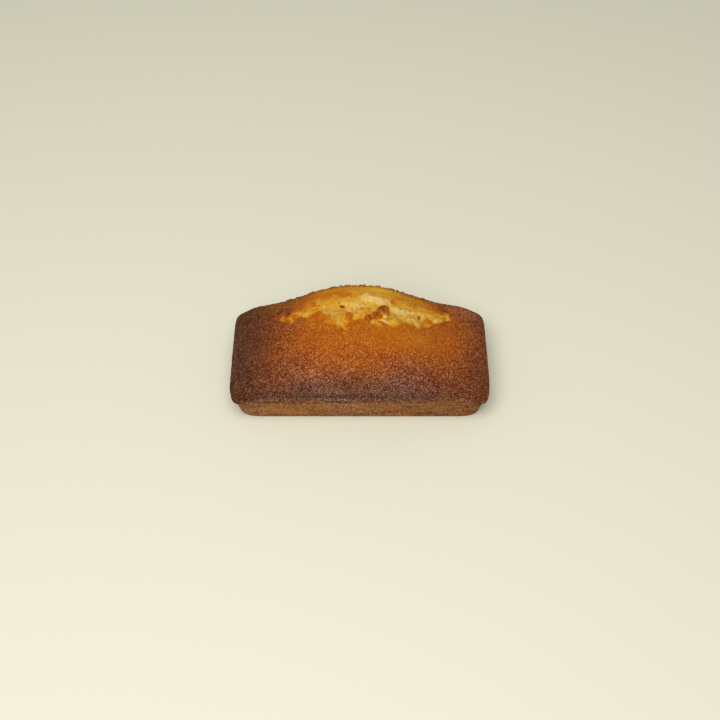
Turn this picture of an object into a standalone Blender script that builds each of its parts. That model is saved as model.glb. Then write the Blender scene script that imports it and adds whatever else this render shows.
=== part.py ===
"""A financier cake as one solid: a low moulded foot, a lip round it, a risen loaf-shaped crown and a split top.

Metres, +Z up. The length runs along X and the origin is under the middle of the flat base.
"""
import math
import random

import bmesh
import bpy
from mathutils import Vector, noise

MM = 0.001
NAME = "financier_cake"
SEED = 7

# Driving sizes
LENGTH = 90.0 * MM
WIDTH = 43.4 * MM
CROWN_HEIGHT = 33.4 * MM
END_HEIGHT = 15.0 * MM
LIP_HEIGHT = 12.2 * MM
LIP_DROP = 9.0 * MM
LIP_FLARE = 0.4 * MM
FOOT_INSET = 2.0 * MM

# The crown: how it falls towards the ends, and how full its shoulders are
RIDGE_SPREAD = 27.9 * MM
RIDGE_POWER = 2.35
RIDGE_CENTRE = -0.7 * MM
END_SHOULDER = 15.0 * MM
MIDDLE_FULLNESS = 2.7
END_FULLNESS = 1.55
CROWN_SQUARENESS = 3.7
WALL_SQUARENESS = 6.5
LIP_SQUARENESS = 8.5
FOOT_SQUARENESS = 5.0
UNEVENNESS = 0.22 * MM
UNEVENNESS_SCALE = 9.0 * MM

# The foot, from the lip's edge down: share of the lip's height, and share of the foot's inset
FOOT_ROWS = (
    (0.975, 0.00),
    (0.925, 0.10),
    (0.89, 0.32),
    (0.45, 0.68),
    (0.08, 0.92),
    (0.00, 1.15),
)

# The split in the top: a crescent between two ragged edges that meet at its tips
SPLIT_LEFT = -31.0 * MM
SPLIT_RIGHT = 33.0 * MM
SPLIT_FRONT = -5.8 * MM
SPLIT_BACK = 9.6 * MM
SPLIT_TIPS = 9.0 * MM
SPLIT_DEPTH = 0.9 * MM
SPLIT_EDGE = 1.1 * MM
EDGE_RAGGEDNESS = 1.3 * MM
EDGE_RAGGED_SCALE = 5.0 * MM
EDGE_ROLL = 0.45 * MM

# The crease along the bottom of the split
CREASE_Y = 1.2 * MM
CREASE_BEND = 1.8 * MM
CREASE_REACH = 21.0 * MM
CREASE_WIDTH = 1.1 * MM
CREASE_DEPTH = 0.8 * MM

# Crags in the split: x, y, length, width, turn in degrees, rise
CRAGS = (
    (6.2 * MM, -0.2 * MM, 10.5 * MM, 4.2 * MM, 47.0, 1.8 * MM),
    (-3.7 * MM, -1.6 * MM, 3.6 * MM, 4.0 * MM, 10.0, 1.4 * MM),
    (-6.8 * MM, -4.2 * MM, 4.6 * MM, 7.0 * MM, 8.0, 1.3 * MM),
    (-20.2 * MM, 1.4 * MM, 4.6 * MM, 3.6 * MM, 0.0, 1.1 * MM),
    (-15.4 * MM, 4.4 * MM, 5.0 * MM, 3.2 * MM, 10.0, 0.8 * MM),
    (-12.8 * MM, 7.0 * MM, 10.0 * MM, 4.4 * MM, -40.0, 1.0 * MM),
    (12.2 * MM, -2.4 * MM, 6.4 * MM, 4.0 * MM, -10.0, 1.3 * MM),
    (16.0 * MM, -2.0 * MM, 3.8 * MM, 3.4 * MM, 0.0, 1.1 * MM),
    (4.5 * MM, 6.8 * MM, 13.0 * MM, 6.0 * MM, -4.0, 1.5 * MM),
    (17.0 * MM, 7.6 * MM, 11.0 * MM, 4.6 * MM, 6.0, 1.1 * MM),
    (18.6 * MM, 1.8 * MM, 6.6 * MM, 3.2 * MM, 10.0, 0.9 * MM),
    (25.0 * MM, 7.0 * MM, 6.6 * MM, 4.0 * MM, 15.0, 0.9 * MM),
)
SMALL_CRAGS = 70
SMALL_CRAG_RADIUS = (1.2 * MM, 2.4 * MM)
SMALL_CRAG_RISE = (0.25 * MM, 0.8 * MM)

# The mesh: cells along the spine, and from the spine out over the top and down the wall
SPINE_CELLS = 46
TOP_CELLS = 14
WALL_CELLS = 8
WALL_REACH = 0.8

CRUST_COLOUR = (0.37, 0.13, 0.03, 1.0)
CRUST_ROUGHNESS = 0.68


def clear_scene():
    for thing in list(bpy.data.objects):
        bpy.data.objects.remove(thing, do_unlink=True)


def smooth_step(low, high, value):
    """0 below low, 1 above high, and a smooth rise between them."""
    share = min(max((value - low) / (high - low), 0.0), 1.0)
    return share * share * (3.0 - 2.0 * share)


def ripple(x, y, scale, channel):
    """A smooth wander between about -1 and 1 over the plan."""
    return 2.0 * noise.noise(Vector((x / scale, y / scale, 7.3 * channel)))


def reaches():
    """Shares of the way out from the spine to the outline: even over the top, crowded at the wall."""
    values = [WALL_REACH * index / TOP_CELLS for index in range(TOP_CELLS)]
    for index in range(WALL_CELLS + 1):
        left = 1.0 - index / WALL_CELLS
        values.append(1.0 - (1.0 - WALL_REACH) * left ** MIDDLE_FULLNESS)
    return values


def grid_lines():
    """The grid's lines across, as places on the spine and shares out past its ends, and its lines along."""
    outward = reaches()
    spine_end = 0.5 * LENGTH - END_SHOULDER
    across = [(-spine_end, -reach) for reach in reversed(outward[1:])]
    for index in range(SPINE_CELLS + 1):
        across.append((spine_end * (2.0 * index / SPINE_CELLS - 1.0), 0.0))
    across += [(spine_end, reach) for reach in outward[1:]]
    along = [-reach for reach in reversed(outward[1:])] + outward
    return across, along


def plan_point(spine_x, out_x, out_y, squareness, inset):
    """The plan point out from a place on the spine, by shares of the way to the outline.

    The outline is LENGTH by WIDTH less the inset all round, with corners that are rounder where
    squareness is less.
    """
    size = (abs(out_x) ** squareness + abs(out_y) ** squareness) ** (1.0 / squareness)
    if size == 0.0:
        return spine_x, 0.0
    share = max(abs(out_x), abs(out_y)) / size
    x = spine_x + out_x * share * (END_SHOULDER - inset)
    return x, out_y * share * (0.5 * WIDTH - inset)


def lip_z(x, y):
    """Height of the lip, which droops towards the corners."""
    corner = (abs(x) / (0.5 * LENGTH)) ** 12 * (abs(y) / (0.5 * WIDTH)) ** 6
    return LIP_HEIGHT - LIP_DROP * corner


def ridge_z(x):
    """Height of the crown along its middle."""
    away = abs(x - RIDGE_CENTRE) / RIDGE_SPREAD
    return END_HEIGHT + (CROWN_HEIGHT - END_HEIGHT) * math.exp(-away ** RIDGE_POWER)


def split_edges(x):
    """Front and back edges of the split at x, and how far x is inside its tips, from 0 to 1."""
    middle = 0.5 * (SPLIT_LEFT + SPLIT_RIGHT)
    half = 0.5 * (SPLIT_RIGHT - SPLIT_LEFT)
    along = min(abs(x - middle) / half, 1.0)
    front = SPLIT_FRONT + (SPLIT_TIPS - SPLIT_FRONT) * along ** 2
    back = SPLIT_BACK + (SPLIT_TIPS - SPLIT_BACK) * along ** 3
    return front, back, 1.0 - along


def split_share(x, y):
    """1 inside the split, 0 outside it, with ragged edges between."""
    front, back, inside = split_edges(x)
    front += EDGE_RAGGEDNESS * ripple(x, 0.0, EDGE_RAGGED_SCALE, 1)
    back += EDGE_RAGGEDNESS * ripple(x, 0.0, EDGE_RAGGED_SCALE, 2)
    from_front = smooth_step(-SPLIT_EDGE, SPLIT_EDGE, y - front)
    from_back = smooth_step(-SPLIT_EDGE, SPLIT_EDGE, back - y)
    return from_front * from_back * smooth_step(0.0, 0.06, inside)


def crag_rise(x, y, crag):
    """Height of one rounded crag over its surroundings."""
    crag_x, crag_y, length, width, turn, rise = crag
    angle = math.radians(turn)
    along = (x - crag_x) * math.cos(angle) + (y - crag_y) * math.sin(angle)
    side = (y - crag_y) * math.cos(angle) - (x - crag_x) * math.sin(angle)
    away = (2.0 * along / length) ** 2 + (2.0 * side / width) ** 2
    return rise * math.sqrt(1.0 - away) if away < 1.0 else 0.0


def scatter_small_crags():
    """Small round crags at random places inside the split."""
    dice = random.Random(SEED)
    crags = []
    while len(crags) < SMALL_CRAGS:
        x = dice.uniform(SPLIT_LEFT, SPLIT_RIGHT)
        y = dice.uniform(SPLIT_FRONT, SPLIT_BACK)
        radius = dice.uniform(*SMALL_CRAG_RADIUS)
        rise = dice.uniform(*SMALL_CRAG_RISE)
        if split_share(x, y) > 0.5:
            crags.append((x, y, 2.0 * radius, 2.0 * radius, 0.0, rise))
    return crags


def split_relief(x, y, small_crags):
    """Height that the split adds to the crown: a sunken, craggy floor behind a rolled edge."""
    share = split_share(x, y)
    edge_roll = EDGE_ROLL * 4.0 * share * (1.0 - share)
    if share <= 0.0:
        return 0.0
    crease_y = CREASE_Y + CREASE_BEND * (x / CREASE_REACH) ** 2
    off_crease = (y - crease_y) / CREASE_WIDTH
    fade = smooth_step(1.0, 0.6, abs(x) / CREASE_REACH)
    crease = CREASE_DEPTH * math.exp(-off_crease * off_crease) * fade
    crags = max(crag_rise(x, y, crag) for crag in CRAGS)
    crumbs = max(crag_rise(x, y, crag) for crag in small_crags)
    return edge_roll + share * (crags + crumbs - crease - SPLIT_DEPTH)


def crown_z(x, y, reach, small_crags):
    """Height of the crown over a plan point, reach being 0 on the spine and 1 at the lip."""
    lip = lip_z(x, y)
    end_share = (2.0 * x / LENGTH) ** 2
    fullness = MIDDLE_FULLNESS + (END_FULLNESS - MIDDLE_FULLNESS) * end_share
    shoulder = (1.0 - reach ** fullness) ** (1.0 / fullness)
    wave = UNEVENNESS * (1.0 - reach ** 8) * ripple(x, y, UNEVENNESS_SCALE, 3)
    return lip + (ridge_z(x) - lip) * shoulder + wave + split_relief(x, y, small_crags)


def add_crown(mesh):
    """The crown as a grid of quads. Returns its rim, counter-clockwise from above.

    Each corner of the rim is its vertex with its place on the spine and its shares out from there.
    """
    small_crags = scatter_small_crags()
    across, along = grid_lines()
    grid = []
    for spine_x, out_x in across:
        column = []
        for out_y in along:
            reach = max(abs(out_x), abs(out_y))
            squareness = CROWN_SQUARENESS + (WALL_SQUARENESS - CROWN_SQUARENESS) * reach ** 6
            x, y = plan_point(spine_x, out_x, out_y, squareness, LIP_FLARE)
            vertex = mesh.verts.new((x, y, crown_z(x, y, reach, small_crags)))
            column.append((vertex, spine_x, out_x, out_y))
        grid.append(column)
    for left, right in zip(grid, grid[1:]):
        for row in range(len(along) - 1):
            corners = (left[row], right[row], right[row + 1], left[row + 1])
            mesh.faces.new([corner[0] for corner in corners])
    front = [column[0] for column in grid]
    right_end = grid[-1][1:]
    back = [column[-1] for column in reversed(grid[:-1])]
    left_end = list(reversed(grid[0][1:-1]))
    return front + right_end + back + left_end


def add_foot(mesh, rim):
    """The lip and the foot: rings of quads stepping out, then in and down, closed by the flat base."""
    upper = [corner[0] for corner in rim]
    for height_share, inset_share in FOOT_ROWS:
        squareness = LIP_SQUARENESS + (FOOT_SQUARENESS - LIP_SQUARENESS) * min(inset_share, 1.0)
        lower = []
        for vertex, spine_x, out_x, out_y in rim:
            x, y = plan_point(spine_x, out_x, out_y, squareness, inset_share * FOOT_INSET)
            lower.append(mesh.verts.new((x, y, vertex.co.z * height_share)))
        for index in range(len(rim)):
            after = (index + 1) % len(rim)
            mesh.faces.new((upper[index], lower[index], lower[after], upper[after]))
        upper = lower
    mesh.faces.new(tuple(reversed(upper)))


def make_crust_material():
    material = bpy.data.materials.new("browned crust")
    material.use_nodes = True
    principled = material.node_tree.nodes["Principled BSDF"]
    principled.inputs["Base Color"].default_value = CRUST_COLOUR
    principled.inputs["Roughness"].default_value = CRUST_ROUGHNESS
    principled.inputs["Metallic"].default_value = 0.0
    material.diffuse_color = CRUST_COLOUR
    return material


def make_cake():
    mesh = bmesh.new()
    rim = add_crown(mesh)
    add_foot(mesh, rim)
    data = bpy.data.meshes.new(NAME)
    mesh.to_mesh(data)
    mesh.free()
    data.materials.append(make_crust_material())
    data.shade_smooth()
    data.set_sharp_from_angle(angle=math.radians(50.0))
    cake = bpy.data.objects.new(NAME, data)
    bpy.context.scene.collection.objects.link(cake)
    return cake


clear_scene()
make_cake()
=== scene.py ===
"""Looks of the financier cake: its grained crust, the split with its crumb, and the stage it is seen on."""
import math

import bpy
import numpy as np
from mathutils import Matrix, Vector, noise


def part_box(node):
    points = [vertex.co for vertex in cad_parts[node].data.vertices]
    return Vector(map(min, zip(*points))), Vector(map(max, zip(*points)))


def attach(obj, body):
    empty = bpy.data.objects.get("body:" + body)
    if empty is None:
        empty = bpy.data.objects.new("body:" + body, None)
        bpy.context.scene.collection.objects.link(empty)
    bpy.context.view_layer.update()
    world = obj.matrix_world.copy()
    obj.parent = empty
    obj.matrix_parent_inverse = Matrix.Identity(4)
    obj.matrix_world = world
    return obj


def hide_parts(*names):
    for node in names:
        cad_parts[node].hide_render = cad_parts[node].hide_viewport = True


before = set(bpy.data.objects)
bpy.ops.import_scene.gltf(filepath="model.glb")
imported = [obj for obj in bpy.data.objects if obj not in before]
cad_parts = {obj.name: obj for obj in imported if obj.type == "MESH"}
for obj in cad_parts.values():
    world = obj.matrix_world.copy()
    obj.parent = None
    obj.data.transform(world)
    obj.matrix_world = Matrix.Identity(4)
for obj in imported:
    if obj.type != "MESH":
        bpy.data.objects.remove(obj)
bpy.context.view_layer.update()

bl_info = {
    "name": "Financier Cake",
    "version": (1, 0, 0),
    "blender": (4, 5, 0),
    "location": "View3D > Sidebar > Cake",
    "description": "Makes a baked financier cake with a split crown, and a pale stage for it",
    "category": "Add Mesh",
}

NODE = "financier_cake"
BODY = "root"
MM = 0.001
NODE_LOW, NODE_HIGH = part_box(NODE)
SEED = 7

# Lumps and hollows of the split crown: x, y, length, width (mm), turn (degrees), rise (mm),
# how brown it is baked, which on pale tops partly holds painted highlight and in dark hollows painted shade,
# and how strongly that shows
LUMPS = (
    (-15.0, -0.4, 9.0, 6.0, -25, 0.1, 0.50, 0.9),
    (-23.0, 3.6, 9.0, 4.0, -30, 0.0, 0.54, 0.9),
    (-1.0, -5.5, 9.0, 3.6, 10, 0.1, 0.56, 0.8),
    (-27.0, 5.7, 4.6, 1.2, -28, 0.4, 0.30, 0.9),
    (-28.6, 7.6, 3.4, 1.9, -20, 0.1, 0.82, 0.7),
    (-26.2, 4.3, 3.6, 0.9, -25, -0.4, 0.68, 0.8),
    (-24.0, 3.8, 1.4, 3.8, 0, 0.3, 0.12, 0.9),
    (-20.8, 4.5, 3.8, 1.3, -10, 0.6, 0.12, 0.9),
    (-18.2, 1.2, 3.6, 1.3, -55, 0.3, 0.42, 0.9),
    (-20.4, 0.9, 2.9, 3.0, 0, 1.3, 0.70, 1.0),
    (-15.4, 4.3, 3.4, 1.9, 10, 0.7, 0.32, 0.9),
    (-14.2, 2.6, 3.2, 2.2, 0, 0.0, 0.51, 0.8),
    (-16.2, 0.6, 3.2, 2.8, 0, 0.4, 0.52, 0.8),
    (-17.5, 7.8, 7.5, 4.4, -40, 0.9, 0.34, 0.8),
    (-22.0, 8.8, 5.4, 3.4, -50, 0.5, 0.68, 0.8),
    (-13.0, 6.5, 7.4, 1.3, -52, 0.5, 0.08, 0.9),
    (-15.8, 7.0, 3.4, 1.4, -50, 0.0, 0.54, 0.8),
    (-10.3, 3.9, 3.2, 1.7, -50, 0.4, 0.16, 0.9),
    (-24.6, 8.6, 3.4, 4.8, 0, 0.5, 0.90, 0.9),
    (-27.0, 10.6, 5.0, 4.6, 0, 0.3, 0.88, 1.0),
    (-8.3, 7.8, 4.8, 3.4, -20, 0.6, 0.22, 0.9),
    (-9.6, 9.4, 5.4, 1.9, -10, 0.1, 0.40, 0.8),
    (-6.7, 2.4, 5.4, 3.0, -20, -0.3, 0.18, 0.9),
    (-19.0, 6.6, 4.2, 2.0, -40, 0.0, 0.36, 0.8),
    (-3.0, 3.7, 8.8, 4.0, -8, 0.8, 0.06, 0.9),
    (0.5, 6.2, 7.0, 4.0, 0, 0.9, 0.08, 0.9),
    (-10.3, -1.7, 4.2, 3.2, -20, 0.8, 0.38, 0.9),
    (-6.9, -3.5, 3.4, 6.2, 8, 1.6, 0.10, 0.9),
    (-6.3, -6.2, 3.4, 2.0, 0, 1.1, 0.20, 0.9),
    (-3.9, -2.1, 2.9, 3.8, 10, 1.7, 0.47, 1.0),
    (-1.2, -1.6, 2.4, 3.6, 0, 0.4, 0.12, 0.9),
    (-1.4, 1.0, 2.8, 2.4, 0, 0.0, 0.06, 0.9),
    (4.5, 6.5, 10.4, 5.2, -4, 1.6, -0.04, 0.9),
    (-2.0, 10.0, 6.4, 3.0, 0, 0.4, 0.16, 0.8),
    (3.0, 8.6, 2.6, 1.4, 0, 0.4, -0.08, 0.9),
    (9.2, 7.2, 3.2, 2.8, 0, 0.5, 0.00, 0.8),
    (3.3, 3.2, 4.8, 1.8, 6, 0.4, 0.04, 0.9),
    (2.8, 1.1, 3.2, 1.9, 15, 0.7, 0.24, 0.9),
    (3.6, -0.2, 3.4, 1.9, 30, 0.6, 0.26, 0.8),
    (1.5, -4.5, 5.0, 2.2, 0, 0.3, 0.40, 0.8),
    (5.4, -4.6, 4.6, 2.4, -10, 0.5, 0.06, 0.9),
    (3.1, -3.3, 2.9, 2.4, 0, 1.6, 0.62, 1.0),
    (5.0, -2.0, 3.6, 2.2, 45, 1.8, 0.58, 1.0),
    (6.8, 0.1, 3.8, 2.2, 50, 1.9, 0.62, 1.0),
    (8.3, 2.0, 3.4, 2.2, 20, 1.8, 0.80, 1.0),
    (9.3, 1.5, 1.8, 1.9, 0, 1.2, 0.50, 1.0),
    (8.2, -1.0, 3.2, 2.2, 20, 0.7, 0.02, 0.9),
    (8.3, -3.2, 3.8, 1.5, -12, 0.8, -0.06, 0.9),
    (10.9, 4.5, 2.6, 4.6, 10, 0.3, 0.06, 0.9),
    (13.6, 3.4, 5.4, 3.4, 10, 0.9, -0.08, 0.9),
    (12.2, -2.6, 5.0, 3.8, -10, 1.5, 0.08, 0.9),
    (15.9, -2.3, 2.8, 2.9, 0, 1.3, 0.42, 1.0),
    (18.2, 1.6, 5.8, 2.4, 10, 0.8, 0.05, 0.9),
    (19.9, -0.2, 3.4, 2.6, 20, 0.6, -0.06, 0.9),
    (17.6, 5.0, 4.2, 1.8, 5, 0.5, 0.00, 0.9),
    (21.4, 5.9, 2.8, 2.6, 0, 0.7, 0.04, 0.9),
    (24.6, 7.0, 4.8, 3.2, 10, 0.9, 0.02, 0.9),
    (23.8, 3.6, 3.6, 2.2, 10, 0.4, 0.40, 0.9),
    (27.4, 6.0, 5.2, 1.6, 35, 0.5, 0.02, 0.9),
    (29.6, 8.4, 2.0, 4.6, -25, 0.5, 0.28, 0.9),
    (16.2, 8.3, 8.2, 3.8, 5, 1.1, 0.22, 0.9),
    (11.6, 7.4, 2.8, 2.6, 0, 0.1, 0.42, 0.9),
    (12.6, 9.2, 4.0, 1.8, 20, 0.2, 0.27, 0.8),
    (21.5, 9.5, 5.2, 3.4, 10, 0.6, 0.10, 0.9),
    (26.0, 10.5, 5.0, 3.2, 10, 0.6, 0.30, 0.9),
    (29.5, 14.0, 4.6, 5.4, 0, 0.3, 0.78, 1.0),
    (23.0, 13.0, 5.4, 3.2, 10, 0.3, 0.38, 0.8),
)

# Broad places on the crust that are baked more or less: x, y, length, width (mm), turn, change
TOASTED = (
    (17.0, -8.0, 26.0, 12.0, 0, -0.13),
    (-4.0, -9.0, 26.0, 10.0, 0, 0.045),
    (-4.0, -15.5, 26.0, 6.0, 0, 0.05),
    (20.5, -5.5, 9.0, 8.0, 0, -0.13),
    (-7.0, 13.0, 14.0, 5.0, 0, -0.10),
    (13.0, -17.5, 22.0, 6.0, 0, 0.08),
    (-5.0, -20.3, 34.0, 3.0, 0, 0.04),
    (-19.5, -20.6, 8.0, 2.4, 0, 0.08),
    (-22.0, -15.0, 14.0, 5.0, 0, 0.05),
    (-26.0, -8.0, 20.0, 9.0, 0, -0.04),
    (-3.0, -19.8, 16.0, 3.5, 0, 0.06),
    (-35.0, -19.0, 10.0, 5.0, 0, -0.05),
    (-14.0, 13.2, 9.0, 6.0, 0, -0.14),
    (-30.0, 15.5, 9.0, 5.0, 0, -0.05),
    (4.0, -19.0, 18.0, 3.0, 0, -0.07),
    (27.0, 0.0, 9.0, 8.0, 20, -0.06),
    (31.0, -1.0, 26.0, 24.0, 0, -0.18),
    (26.0, -19.0, 34.0, 7.0, 0, 0.05),
    (1.0, 17.0, 42.0, 5.6, 0, 0.34),
    (-34.0, 18.0, 18.0, 7.0, 0, -0.10),
    (28.0, 15.5, 8.0, 5.0, 0, -0.08),
    (37.0, 17.0, 18.0, 8.0, 0, -0.22),
    (5.0, 12.5, 44.0, 9.0, 0, -0.24),
    (7.0, 12.5, 22.0, 8.0, 0, -0.20),
    (20.0, 12.0, 18.0, 10.0, 0, -0.20),
    (36.0, 7.0, 16.0, 15.0, 0, -0.12),
)

# Small pores in the crumb, darkened with painted shade: x, y, length, width (mm), turn (degrees)
PORES = (
    (-6.0, 3.1, 2.2, 0.8, -25),
    (14.2, 4.4, 0.9, 0.9, 0),
    (17.3, 5.3, 0.8, 0.7, 0),
    (20.6, 4.6, 1.0, 1.2, 0),
    (0.9, 2.4, 0.8, 0.5, 0),
)

# The torn edges of the crust, from left to right: x, y (mm)
FRONT_LIP = (
    (-31.2, 8.6), (-29.4, 7.0), (-26.4, 3.8), (-24.1, 1.5), (-22.0, 2.2), (-19.9, 2.4), (-18.4, 0.2),
    (-16.3, -1.3), (-13.5, -2.6), (-10.7, -3.6), (-8.7, -5.4), (-6.6, -7.0), (-4.9, -7.6), (-3.2, -6.9),
    (-1.9, -5.3), (0.1, -4.9), (2.5, -4.8), (4.8, -5.4), (6.9, -4.2), (8.9, -4.1), (10.3, -5.0),
    (12.3, -4.7), (14.4, -2.5), (16.1, -3.8), (17.9, -2.0), (20.1, -1.3), (22.2, -0.1), (24.4, 1.5),
    (26.7, 4.2), (29.7, 6.3), (33.2, 9.6),
)
BACK_LIP = (
    (-31.2, 8.6), (-29.5, 8.4), (-26.6, 7.8), (-24.4, 8.0), (-21.5, 7.2), (-18.6, 7.6), (-16.6, 9.2),
    (-13.7, 9.8), (-10.2, 9.2), (-6.8, 7.4), (-3.3, 7.8), (-1.3, 9.6), (0.8, 10.3), (4.3, 10.8),
    (8.5, 11.6), (11.2, 9.2), (14.0, 7.8), (16.8, 7.8), (19.7, 8.8), (22.6, 9.6), (25.5, 10.4),
    (28.4, 10.8), (31.4, 12.0), (33.2, 9.6),
)

# Creases where the crumb swelled up on both sides: points x, y (mm)
CREASES = (
    ((-12.8, 4.2), (-11.5, 3.2), (-8.4, 1.9), (-5.3, 1.3), (-2.6, 0.7), (0.1, 1.8), (2.2, 2.8)),
    ((9.8, 1.0), (11.4, 1.6), (13.8, 2.3), (17.4, 3.2), (20.2, 3.5), (22.3, 2.9)),
)

# Colours of the cake from unbaked crumb to dark crust
BROWNING = (
    (0.00, (0.71, 0.48, 0.150)),
    (0.08, (0.66, 0.36, 0.048)),
    (0.16, (0.61, 0.30, 0.022)),
    (0.26, (0.54, 0.225, 0.010)),
    (0.38, (0.50, 0.150, 0.004)),
    (0.50, (0.445, 0.116, 0.003)),
    (0.60, (0.375, 0.092, 0.004)),
    (0.70, (0.300, 0.073, 0.006)),
    (0.80, (0.226, 0.055, 0.007)),
    (0.90, (0.157, 0.039, 0.007)),
    (1.00, (0.103, 0.028, 0.006)),
)

# The body's form
RIDGE_SPREAD = 27.9 * MM
RIDGE_POWER = 2.35
RIDGE_CENTRE = -0.7 * MM
END_SHOULDER = 15.0 * MM
MIDDLE_FULLNESS = 2.7
END_FULLNESS = 1.55
CROWN_SQUARENESS = 3.7
WALL_SQUARENESS = 6.5
LIP_SQUARENESS = 8.5
FOOT_SQUARENESS = 5.0
WALL_POWER = 6
DROOP_POWER_X = 12
DROOP_POWER_Y = 6
UNEVENNESS = 0.22 * MM
UNEVENNESS_SIZE = 9.0 * MM
UNEVENNESS_POWER = 8
UNEVENNESS_CHANNEL = 3
CHANNEL_STEP = 7.3

# Rows of the foot: share of the lip's height, share of the foot's inset
FOOT_ROWS = (
    (0.975, 0.00),
    (0.95, 0.03),
    (0.925, 0.10),
    (0.89, 0.32),
    (0.45, 0.68),
    (0.08, 0.92),
    (0.00, 1.15),
)

# How many of them come first as they are, and how many even rows lead to each of the others
SHAPED_ROWS = 4
EVEN_ROWS = (9, 8, 3)

# The crown's grid: trial steps from crest to lip, the way out and down that they cover (mm),
# the length of a step near the crest and down the side (mm), and the steps round each end
TRIAL_STEPS = 2000
TRIAL_POWER = 3
WAY_OUT = 21.3
WAY_DOWN = 21.4
CREST_STEP = 0.25
SIDE_STEP = 0.40
CREST_SHARE = 0.5
SPINE_STEP = 0.25 * MM
END_STEPS = 42
END_POWER = 1.6

# Marks on the lip and the foot, each from where to where: in shares of the way out, in shares of the
# foot's inset, and in height above the lip (mm)
RIM_REACH = (0.985, 1.0)
RIM_SHARE = 0.3
UNDER_RIM = (0.0, 0.2)
EDGE_HEIGHT = (0.2, 0.8)
EDGE_INSET = 0.05
LEDGE_INSET = (0.2, 0.41)

# The split; its end edge is in mm from the end, and a pore's edge in shares of its size
SPLIT_DEPTH = 0.5 * MM
FRONT_EDGE = 0.28 * MM
BACK_EDGE = 0.9 * MM
END_EDGE = (-0.5, 1.5)
RIM_ROLL = 0.4 * MM
RIM_WIDTH = 0.9 * MM
CREASE_DEPTH = 0.9 * MM
CREASE_WIDTH = 0.45 * MM
CREASE_STRAY = 0.4
# Painted shade in the creases: how much browner they are made
CREASE_SHADE = 0.12
VALLEY_DEPTH = 0.35 * MM
VALLEY_WIDTH = 1.5 * MM
PORE_DEPTH = 0.6 * MM
PORE_EDGE = (0.5, 1.3)
# Painted shade that darkens and greys the pores
PORE_SHADE = 1.05
PORE_GREY = 0.5
CRUMB_PATCHES = 0.12
CRUMB_UNEVENNESS = 0.22 * MM
CRUMB_UNEVENNESS_SIZE = 1.3 * MM
CRUMB_UNEVENNESS_SEED = 43

# How brown the bare crumb is between the lumps: at the front edge, less further in, more at the back
CRUMB_BAKE = 0.30
CRUMB_PALER = 0.18
CRUMB_DARKER = 0.12
PALER_ACROSS = (0.0, 0.45)
DARKER_ACROSS = (0.7, 1.1)

# A lump: how brown it is where it turns from a soft swell into a firm knob, and how each fades out
FIRM_BAKE = (0.35, 0.5)
KNOB_ROUNDNESS = 0.7
KNOB_FADE = (0.75, 1.2)
SWELL_FADE = (0.0, 1.3)
SHADE_FADE = (0.25, 1.35)
FIRM_SHADE_FADE = (0.45, 0.15)

# Layers of wandering: height (mm), size (mm), seed
RAGGED_X = ((0.75, 1.9, 31), (0.35, 0.8, 32))
RAGGED_Y = ((0.75, 1.8, 33), (0.35, 0.8, 34))
STRAY_X = ((0.45, 2.3, 21), (0.22, 0.9, 22))
STRAY_Y = ((0.50, 2.1, 23), (0.25, 0.8, 24))

# Browned patches in the crumb: weight, size (mm), seed
PATCH_LAYERS = ((0.6, 1.7, 41), (0.4, 0.75, 42))

# Where the grain is calmer: how far behind the split's front edge, and how far from the middle (mm)
CALM_EDGE = (-0.5, 3.0)
CALM_ENDS = (24.0, 36.0)

# How brown the crust is, from 0 to 1, and what changes it in places
CREST_BAKE = 0.50
CROWN_SIDE_BAKE = 0.33
ABOVE_LIP_BAKE = 0.12
NEAR_LIP_BAKE = 0.09
LEFT_END_BAKE = 0.19
RIGHT_END_BAKE = 0.07
TOAST_FALLOFF = 1.4
FOOT_BAKE = 0.66
FOOT_RIGHT_BAKE = 0.06
FOOT_ENDS_BAKE = 0.06
# Darker near the base: partly baked, partly painted shade where the foot meets the floor
BASE_SHADE_AND_BAKE = 0.05
BASE_MIDDLE_PALER = 0.03
STREAK_BAKE = 0.16
STREAK_SIZE = 0.8 * MM
STREAK_STRETCH = (0.2, 0.2, 1.0)
STREAK_SEED = 52
# Darker dashes just under the lip: partly painted shade under the lip, partly darker baked spots
LEDGE_SHADE_AND_BAKE = 0.26
DASH_SIZE = 1.8 * MM
DASH_SHARE = (-0.15, 0.25)
DASH_SEED = 53
DASHES_FEWER_RIGHT = 0.6
EDGE_PALER = 0.14

# How much greyish painted sheen the crust has, from 0 to 1, and what changes it in places
SHEEN_BOTTOM = 13.0 * MM
SHEEN_TOP = 29.0 * MM
SHEEN_TOP_DROP = 9.0 * MM
SHEEN_SHIFT = 5.0 * MM
MIDDLE_SHEEN = 1.15
ENDS_LESS_SHEEN = 0.85
BACK_LESS_SHEEN = 0.6
BACK_RIGHT_SHEEN = 0.3
RIGHT_END_LESS_SHEEN = 0.15
FOOT_SHEEN = 0.75
FOOT_RIGHT_LESS_SHEEN = 0.2
SHEEN_LEVEL = 0.9
SHEEN_PATCHES = 0.3
SHEEN_PATCH_SIZE = 9.0 * MM
SHEEN_SEED = 51
# Greyness of the painted shade in creases and pores
CREASE_GREY = 0.9

# How olive the back of the crown is
BACK_OLIVE = 1.4
BACK_RIGHT_LESS_OLIVE = 0.8

# What the grain and the loose bits follow
FLAKE_BAKE = (0.42, 0.58)
FLAKE_SHARE = 0.9
CALM_SHARE = 0.8
QUIET_SHARE = 0.6
FOOT_QUIET = 0.2
FOOT_RELIEF_LESS = 0.45
FOOT_GRAINS_LESS = 0.7
TORN_INSIDE = 0.3
TORN_EDGE = 4.0
CRUST_KNOBS = 0.015

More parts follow.
